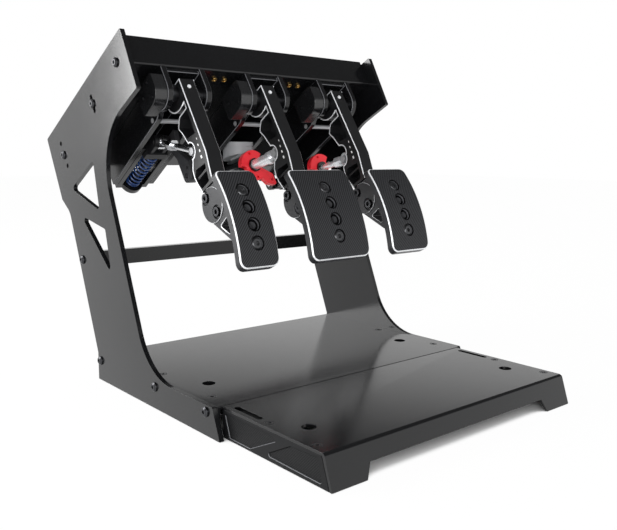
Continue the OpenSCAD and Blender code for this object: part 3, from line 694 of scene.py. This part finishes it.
class PEDALS_OT_trays(bpy.types.Operator):
    """Base tray, heel tray, covers and rails"""

    bl_idname = "pedals.trays"
    bl_label = "Floor trays"

    def execute(self, context):
        for node in ("base_plate", "heel_plate", "floor_rails"):
            self.tray(node)
        for node in ("left_heel_cover", "right_heel_cover"):
            self.cover(node)
        return {"FINISHED"}

    def tray(self, node):
        """A tray with a rounded front fold, a seam where the two trays meet, and painted shade on the walls of its
        slots.
        """
        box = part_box("heel_plate")
        seam, top = box[1].y, box[1].z
        points = [v.co for v in frame["nodes"]["heel_plate"].data.vertices]
        bend = min(c.y for c in points if c.z > top - 0.1 * MM)
        slot = Vector((box[1].x - 9.5 * MM, seam - 35 * MM, top))
        slot_reach = Vector((4 * MM, 24 * MM, 4 * MM))

        # Painted shade: the upright walls of each slot take the near black of the hole finish.
        def painted_slot_shade(face, now):
            c = face.calc_center_median()
            beside_slot = abs(abs(c.x) - slot.x) < slot_reach.x and abs(c.y - slot.y) < slot_reach.y
            upright = abs(face.normal.z) < SQUARE
            return "painted_hole_shade" if beside_slot and upright and c.z > top - slot_reach.z else now

        cuts = (
            Cut(lambda e: self.runs_at(e, seam, top), sizes().seam_edge, 1, "powder_coat"),
            Cut(lambda e: self.runs_at(e, bend, top), sizes().bend, 4, "powder_coat"),
        )
        dressed(node, "powder_coat", "painted_hole_shade", width=sizes().sheet_edge, cuts=cuts, paint=painted_slot_shade)

    def runs_at(self, edge, y, z):
        return all(abs(v.co.y - y) < 1 * MM and abs(v.co.z - z) < 0.2 * MM for v in edge.verts)

    def cover(self, node):
        """A heel cover with a fine grid in its recesses, and round them a painted highlight on the edges, which
        turns to painted shade where an edge faces down at the top of a recess.
        """
        low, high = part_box(node)
        outer = max(abs(low.x), abs(high.x))
        skin = 0.00005
        least_wall, most_wall = 0.0003, 0.0009
        least_floor, most_floor = 0.0008, 0.002
        shaded = -0.1

        def depth(face):
            return outer - abs(face.calc_center_median().x)

        def mouth(edge):
            at_face = all(outer - abs(v.co.x) < skin for v in edge.verts)
            return at_face and any(least_wall < depth(f) < most_wall for f in edge.link_faces)

        def recesses(face, now):
            if abs(face.normal.x) > SAME_WAY and least_floor < depth(face) < most_floor:
                return "ribbed_plastic"
            # Painted shade on the edge faces that look down; the ones that look up keep the painted highlight.
            return "painted_hole_shade" if now == "painted_edge_highlight" and face.normal.z < shaded else now

        names = ("cover_plastic", "ribbed_plastic", "painted_edge_highlight", "painted_hole_shade")
        # The cut round each recess mouth carries the painted highlight.
        cuts = (Cut(mouth, 0.0006, 1, "painted_edge_highlight"),)
        dressed(node, *names, width=0.0003, cuts=cuts, paint=recesses)


class PEDALS_OT_deck(bpy.types.Operator):
    """Deck tray and its inserts"""

    bl_idname = "pedals.deck"
    bl_label = "Deck"

    def execute(self, context):
        low = beside("brake", self.corner())
        fold = line_at("brake", low.y, low.z)
        cuts = (Cut(fold, sizes().bend, 4, "powder_coat"),)
        dressed("deck_tray", "powder_coat", width=0.0007, cuts=cuts)
        dressed("deck_inserts", "gold_plate", width=0.0006)
        return {"FINISHED"}

    def corner(self):
        """The front lower corner of the deck tray."""
        points = [v.co for v in frame["nodes"]["deck_tray"].data.vertices]
        return along * min(c.dot(along) for c in points) + upward * min(c.dot(upward) for c in points)


class PEDALS_OT_fasteners(bpy.types.Operator):
    """Screws, bolts, pins, axles and spacers"""

    bl_idname = "pedals.fasteners"
    bl_label = "Fasteners"

    def execute(self, context):
        for node in ("side_screws", "floor_screws", "deck_bolts", "pivot_spacers"):
            dressed(node, "dark_steel", width=0.0003)
        for node in ("tie_bars", "rear_pins"):
            dressed(node, "brushed_aluminium", width=0.0003)
        for p in pedals:
            dressed(p + "_axle", "dark_steel", width=0.0004)
            self.lever_pin(p)
            dressed(p + "_bracket_screws", "dark_steel", width=0.0005)
            dressed(p + "_pad_screws", "screw_steel", width=0.0004)
        return {"FINISHED"}

    def lever_pin(self, pedal):
        """The round head and shank of the pin that the linkage hangs on."""
        node = pedal + "_pin_bolt"
        low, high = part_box(node)
        head, shank, deep, edge = 0.005, 0.004, 0.004, 0.0006
        sides = 40
        centre = (low + high) / 2
        shoulder = low.x + deep
        outline = ((low.x, 0), (low.x, head), (shoulder, head), (shoulder, shank), (high.x, shank), (high.x, 0))
        bm = bmesh.new()
        points = [bm.verts.new((x, centre.y, centre.z + r)) for x, r in outline]
        lines = [bm.edges.new(pair) for pair in zip(points, points[1:])]
        bmesh.ops.spin(
            bm,
            geom=points + lines,
            cent=centre,
            axis=(1, 0, 0),
            angle=math.tau,
            steps=sides,
            use_merge=True,
        )
        bmesh.ops.remove_doubles(bm, verts=bm.verts, dist=SAME_POINT)
        bmesh.ops.recalc_face_normals(bm, faces=bm.faces)
        break_edges(bm, [e for e in sharp(bm) if abs(middle(e).x - low.x) < 0.1 * MM], edge)
        pin = piece(node + "_look", bm, homes[node], "brushed_aluminium")
        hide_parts(node)


class PEDALS_OT_frames(bpy.types.Operator):
    """Pedal frames, sensor housings and rear clevises"""

    bl_idname = "pedals.frames"
    bl_label = "Frames"

    def execute(self, context):
        # Painted highlight: every sharp edge of the frames gets a paler satin, where light catches it.
        highlight_cut = Cut(lambda e: True, 0.0007, 1, "painted_edge_highlight")
        for p in pedals:
            dressed(p + "_frame", "powder_coat", "painted_edge_highlight", cuts=(highlight_cut,))
            dressed(p + "_sensor", "sensor_plastic", width=0.0008)
            self.lid_screws(p)
        for node in ("brake_clevis", "throttle_clevis", "clutch_cradle"):
            dressed(node, "powder_coat", width=0.0005)
        return {"FINISHED"}

    def lid_screws(self, pedal):
        """Three small screws round the axle, on the outer side of the sensor."""
        lid = (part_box(pedal + "_sensor")[0].x - axles[pedal].x) / MM
        ring, proud = 12.3, 0.02
        bm = bmesh.new()
        for turn in (0, 120, 240):
            a, h = ring * math.cos(math.radians(turn)), ring * math.sin(math.radians(turn))
            place = set_at(pedal, lid - proud, a, h, Vector((-1, 0, 0)))
            small_screw(bm, place, radius=0.0015, height=0.0007)
        screws = piece(pedal + "_sensor_screws", bm, homes[pedal + "_sensor"], "dark_steel")


class PEDALS_OT_arms(bpy.types.Operator):
    """Pedal arms and pad brackets, with their bright rims, marks and stop screws"""

    bl_idname = "pedals.arms"
    bl_label = "Arms"

    # In millimetres from the axle: hollows in the sides, where the bright rim ends, marks and the stop screw
    arm_hollows = ((-0.5, -50, 24), (3.5, -119.5, 20), (0, 0, 12))
    bracket_hollows = ((13.5, -145, 9.6), (1.2, -171, 9.6))
    rim_end = -134.0
    mark_places = ((-11.9, -74.8), (-10.2, -82.7), (-9.4, -90.6), (-8.3, -98.8))
    screw_place = (0, -19.9, -2)
    # Walls that face more to the front than this have the cut, the others the band
    rim_turn = -0.3

    def execute(self, context):
        for p in pedals:
            half = (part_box(p + "_arm")[1].x - axles[p].x) / MM
            arm_side, bracket_side = half - 0.1, half - 1.6
            front = rims(p, arm_side, self.arm_hollows, back=self.rim_turn, lowest=self.rim_end)
            rear = rims(p, arm_side, self.arm_hollows, front=self.rim_turn, lowest=self.rim_end)
            arm_cut = Cut(front, sizes().bright_edge, 1, "cut_edge")
            bracket_cut = Cut(rims(p, bracket_side, self.bracket_hollows), 0.0006, 1, "cut_edge")
            bright_band(p + "_arm_rim", p + "_arm", rear, sizes().rim)
            dressed(p + "_arm", "dark_anodised", "cut_edge", cuts=(arm_cut,), smooth=30)
            dressed(p + "_pad_bracket", "cheek_anodised", "cut_edge", cuts=(bracket_cut,), smooth=30)
            self.marks(p, half)
            self.stop_screw(p)
        return {"FINISHED"}

    def marks(self, pedal, half):
        """Four painted marks beside the lever pin, each wider than the one above."""
        wide, tall, thick = 0.0026, 0.001, 0.0002
        wider, taller = 0.0004, 0.0006
        bm = bmesh.new()
        for n, (a, h) in enumerate(self.mark_places):
            place = set_at(pedal, -half, a, h, Vector((-1, 0, 0)))
            size = Matrix.Diagonal((wide + wider * n, tall + taller * n, thick, 1))
            bmesh.ops.create_cube(bm, size=1, matrix=place @ size)
        corners = [e for e in bm.edges if abs(direction(e).x) > SAME_WAY]
        break_edges(bm, corners, 0.0003)
        marks = piece(pedal + "_arm_marks", bm, homes[pedal + "_arm"], "white_paint")

    def stop_screw(self, pedal):
        """A small bright screw at the top of the arm's front band."""
        bm = bmesh.new()
        small_screw(bm, set_at(pedal, *self.screw_place, -along), radius=0.0026, height=0.0016)
        screw = piece(pedal + "_arm_screw", bm, homes[pedal + "_arm"], "cut_edge")


class PEDALS_OT_pads(bpy.types.Operator):
    """Curved pads with a bright rim round the weave"""

    bl_idname = "pedals.pads"
    bl_label = "Pads"

    # In millimetres: radius of the pad's face, its middle along and up from the axle, and reach of the holes
    curve = 194.0
    curve_middle = (147.0, -177.6)
    hole = 7.6
    # How far under the face its edges and its middle may lie, and the cosine of faces that look outwards
    edge_skin, face_skin = 0.5, 1
    outwards = 0.8

    def execute(self, context):
        names = ("pad_weave", "cut_edge", "cheek_anodised", "painted_hole_shade", "painted_lit_wall")
        for p in pedals:
            rim = Cut(lambda e: self.on_rim(p, e), sizes().pad_rim, 1, "cut_edge")
            # Painted shade on the sloping rim of each hole.
            mouth = Cut(lambda e: self.on_mouth(p, e), sizes().hole_rim, 1, "painted_hole_shade")
            dressed(p + "_pad", *names, cuts=(rim, mouth), paint=lambda f, now: self.paint(p, f, now), smooth=30)
        return {"FINISHED"}

    def reach(self, pedal, point):
        """Across from the pad's middle, and out from the axis of its curve, in millimetres."""
        place = beside(pedal, point)
        return abs(place.x), (place.yz - Vector(self.curve_middle)).length

    def on_rim(self, pedal, edge):
        reaches = [self.reach(pedal, v.co) for v in edge.verts]
        return all(across > self.hole and out > self.curve - self.edge_skin for across, out in reaches)

    def on_mouth(self, pedal, edge):
        reaches = [self.reach(pedal, v.co) for v in edge.verts]
        return all(across < self.hole and out > self.curve - self.edge_skin for across, out in reaches)

    def paint(self, pedal, face, now):
        """Weave on the curved face, painted shade on the floors and painted light on the walls of the holes, and
        satin all round.
        """
        if now != "pad_weave":
            return now
        across, out = self.reach(pedal, face.calc_center_median())
        ray = face.calc_center_median() - from_axle(pedal, 0, *self.curve_middle)
        ray.x = 0
        facing = face.normal.dot(ray.normalized()) > self.outwards
        if facing and out > self.curve - self.face_skin:
            return "pad_weave"
        if across < self.hole:
            # Painted shade on the floors of the holes, painted light on their walls.
            return "painted_hole_shade" if facing else "painted_lit_wall"
        return "cheek_anodised"


class PEDALS_OT_linkages(bpy.types.Operator):
    """Rods, slider, hanger, dampers, wheels and reservoir"""

    bl_idname = "pedals.linkages"
    bl_label = "Linkages"

    def execute(self, context):
        dressed("clutch_rod", "bright_metal", width=0.0004)
        dressed("clutch_slider", "dark_anodised", width=0.0005)
        dressed("clutch_hanger", "cheek_anodised", width=0.0005)
        for p in ("brake", "throttle"):
            dressed(p + "_rod", "rod_steel", width=0.0004)
            dressed(p + "_damper", "powder_coat", width=0.0006)
            dressed(p + "_wheel", "red_anodised", width=0.0007)
        dressed("brake_reservoir", "reservoir_grey", width=0.0008)
        return {"FINISHED"}


class PEDALS_OT_spring(bpy.types.Operator):
    """Clutch spring"""

    bl_idname = "pedals.spring"
    bl_label = "Spring"

    def execute(self, context):
        low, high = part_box("clutch_spring")
        centre = (low + high) / 2
        centre.x = axles["clutch"].x
        seat = Vector(joints["clutch_slide"]["deforming_nodes"][0]["fixed_end_m"])
        length = 2 * (seat - centre).dot(along)
        bm = self.coil(seat - along * length, length)
        spring = piece("clutch_spring_look", bm, homes["clutch_spring"], "spring_paint", smooth=60)
        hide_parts("clutch_spring")
        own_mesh(spring)
        return {"FINISHED"}

    def coil(self, start, length):
        """A wire wound along the deck, with one closed turn at each end."""
        wire, outer, turns = 0.0013, 0.011, 8.0
        sides, steps, slack = 12, 24, 1.04
        closed = 2 * wire * slack
        rise = (length - 2 * wire - 2 * closed) / turns
        place = Matrix.Translation(start + along * wire + Vector((outer - wire, 0, 0)))
        turn = Vector((0, 0, 1)).rotation_difference(upward).to_matrix().to_4x4()
        bm = bmesh.new()
        bmesh.ops.create_circle(bm, cap_ends=False, segments=sides, radius=wire, matrix=place @ turn)
        first = front = list(bm.edges)
        for count, lift in ((1.0, closed), (turns, rise), (1.0, closed)):
            out = bmesh.ops.spin(
                bm,
                geom=front,
                cent=start,
                axis=along,
                dvec=along * (lift / steps),
                angle=-count * math.tau,
                steps=round(count * steps),
                use_merge=False,
                use_duplicate=False,
            )
            front = [g for g in out["geom_last"] if isinstance(g, bmesh.types.BMEdge)]
        bmesh.ops.holes_fill(bm, edges=first + front, sides=0)
        bmesh.ops.recalc_face_normals(bm, faces=bm.faces)
        return bm


class PEDALS_OT_stage(bpy.types.Operator):
    """Floor, lights and camera"""

    bl_idname = "pedals.stage"
    bl_label = "Stage"

    def execute(self, context):
        scene = context.scene
        scene.view_settings.view_transform = "Standard"
        self.floor(scene)
        self.world(scene)
        self.lamps(scene)
        self.camera(scene)
        return {"FINISHED"}

    def seen(self, tree, path):
        """One for rays from the camera, from gloss and through glass, which see the backdrop, or else nought."""
        value = path.outputs["Is Camera Ray"]
        for ray in ("Is Glossy Ray", "Is Transmission Ray"):
            value = self.math(tree, "MAXIMUM", value, path.outputs[ray])
        return value

    def math(self, tree, operation, a, b):
        node = tree.nodes.new("ShaderNodeMath")
        node.operation = operation
        for value, socket in zip((a, b), node.inputs):
            if isinstance(value, bpy.types.NodeSocket):
                tree.links.new(value, socket)
            else:
                socket.default_value = value
        return node.outputs[0]

    def ramp(self, tree, value, start, end, low, high):
        """Runs smoothly from low to high while the value goes from start to end."""
        node = tree.nodes.new("ShaderNodeMapRange")
        node.interpolation_type = "SMOOTHSTEP"
        for key, number in zip(("From Min", "From Max", "To Min", "To Max"), (start, end, low, high)):
            node.inputs[key].default_value = number
        tree.links.new(value, node.inputs["Value"])
        return node.outputs["Result"]

    def floor(self, scene):
        """A pale floor, white where it lies open and dark in the gaps under the trays."""
        half_size, below = 8, 0.0005
        pale, white, near = 0.85, 0.97, 0.2
        bm = bmesh.new()
        bmesh.ops.create_grid(bm, x_segments=1, y_segments=1, size=half_size)
        mesh = bpy.data.meshes.new("floor")
        bm.to_mesh(mesh)
        bm.free()
        material = bpy.data.materials.new("floor")
        material.use_nodes = True
        tree = material.node_tree
        shader = tree.nodes["Principled BSDF"]
        shader.inputs["Base Color"].default_value = (pale, pale, pale, 1)
        shader.inputs["Roughness"].default_value = 0.9
        around = tree.nodes.new("ShaderNodeAmbientOcclusion")
        around.inputs["Distance"].default_value = near
        lies_open = self.ramp(tree, around.outputs["AO"], start=0.2, end=0.5, low=0.0, high=white)
        seen = self.seen(tree, tree.nodes.new("ShaderNodeLightPath"))
        glow = tree.nodes.new("ShaderNodeEmission")
        mix = tree.nodes.new("ShaderNodeMixShader")
        tree.links.new(self.math(tree, "MULTIPLY", lies_open, seen), mix.inputs[0])
        tree.links.new(shader.outputs[0], mix.inputs[1])
        tree.links.new(glow.outputs[0], mix.inputs[2])
        tree.links.new(mix.outputs[0], tree.nodes["Material Output"].inputs["Surface"])
        mesh.materials.append(material)
        obj = bpy.data.objects.new("floor", mesh)
        obj.location = (0, 0, -below)
        scene.collection.objects.link(obj)

    def world(self, scene):
        """White round the set at its own height, and dimmer high above it."""
        ambient, white, dim = 0.8, 1.0, 0.12
        up = (0, 0.077, 0.997)
        world = bpy.data.worlds.new("studio")
        world.use_nodes = True
        tree = world.node_tree
        back = tree.nodes["Background"]
        towards = tree.nodes.new("ShaderNodeVectorMath")
        towards.operation = "DOT_PRODUCT"
        towards.inputs[1].default_value = up
        tree.links.new(tree.nodes.new("ShaderNodeTexCoord").outputs["Generated"], towards.inputs[0])
        room = self.ramp(tree, towards.outputs["Value"], start=0.29, end=0.43, low=white, high=dim)
        path = tree.nodes.new("ShaderNodeLightPath")
        mix = tree.nodes.new("ShaderNodeMix")
        mix.inputs["A"].default_value = ambient
        tree.links.new(self.math(tree, "MAXIMUM", room, path.outputs["Is Camera Ray"]), mix.inputs["B"])
        tree.links.new(self.seen(tree, path), mix.inputs["Factor"])
        tree.links.new(mix.outputs["Result"], back.inputs["Strength"])
        back.inputs["Color"].default_value = (1, 1, 1, 1)
        scene.world = world

    def lamps(self, scene):
        """A key behind the set on its left, and a weak fill in front."""
        for name, place, aim, size, power in (
            ("key", (-1.74, 1.47, 1.03), (-0.2, 0.1, 0.35), 1.6, 70),
            ("fill", (-1.2, -1.6, 0.5), (0, 0, 0.2), 1.2, 24),
        ):
            data = bpy.data.lights.new(name, "AREA")
            data.energy = power
            data.size = size
            lamp = bpy.data.objects.new(name, data)
            lamp.location = place
            lamp.rotation_euler = (Vector(aim) - Vector(place)).to_track_quat("-Z", "Y").to_euler()
            scene.collection.objects.link(lamp)

    def camera(self, scene):
        """The photograph's camera, as the object's edges in it give it. Lens and picture are in pixels."""
        lens, picture, sensor = 751.2, 617, 36
        place = (-0.63834, -0.78519, 0.30973)
        right = Vector((0.76268, -0.64671, 0.00926))
        down = Vector((-0.08941, -0.11961, -0.98879))
        ahead = Vector((0.64056, 0.7533, -0.14905))
        data = bpy.data.cameras.new("camera")
        data.sensor_fit = "HORIZONTAL"
        data.sensor_width = sensor
        data.lens = lens / picture * sensor
        data.clip_start = 0.05
        obj = bpy.data.objects.new("camera", data)
        turn = Matrix((right, -down, -ahead)).transposed()
        obj.matrix_world = Matrix.Translation(place) @ turn.to_4x4()
        scene.collection.objects.link(obj)
        scene.camera = obj


class PEDALS_PT_panel(bpy.types.Panel):
    """Sizes, colours and pieces of the pedal set"""

    bl_idname = "PEDALS_PT_panel"
    bl_label = "Pedal set"
    bl_space_type = "VIEW_3D"
    bl_region_type = "UI"
    bl_category = "Pedals"

    def draw(self, context):
        for group in (context.scene.pedal_sizes, context.scene.pedal_colours):
            for key in group.bl_rna.properties.keys():
                if key not in ("rna_type", "name"):
                    self.layout.prop(group, key)
        for operator in operators:
            self.layout.operator(operator.bl_idname)


operators = (
    PEDALS_OT_stage,
    PEDALS_OT_stand,
    PEDALS_OT_trays,
    PEDALS_OT_deck,
    PEDALS_OT_fasteners,
    PEDALS_OT_frames,
    PEDALS_OT_arms,
    PEDALS_OT_pads,
    PEDALS_OT_linkages,
    PEDALS_OT_spring,
)
classes = (PedalSizes, PedalColours, *operators, PEDALS_PT_panel)


def register():
    for c in classes:
        bpy.utils.register_class(c)
    bpy.types.Scene.pedal_sizes = bpy.props.PointerProperty(type=PedalSizes)
    bpy.types.Scene.pedal_colours = bpy.props.PointerProperty(type=PedalColours)


def unregister():
    del bpy.types.Scene.pedal_colours
    del bpy.types.Scene.pedal_sizes
    for c in reversed(classes):
        bpy.utils.unregister_class(c)


def main():
    register()
    bpy.ops.pedals.stage()
    bpy.ops.pedals.stand()
    bpy.ops.pedals.trays()
    bpy.ops.pedals.deck()
    bpy.ops.pedals.fasteners()
    bpy.ops.pedals.frames()
    bpy.ops.pedals.arms()
    bpy.ops.pedals.pads()
    bpy.ops.pedals.linkages()
    bpy.ops.pedals.spring()


if __name__ == "__main__":
    main()
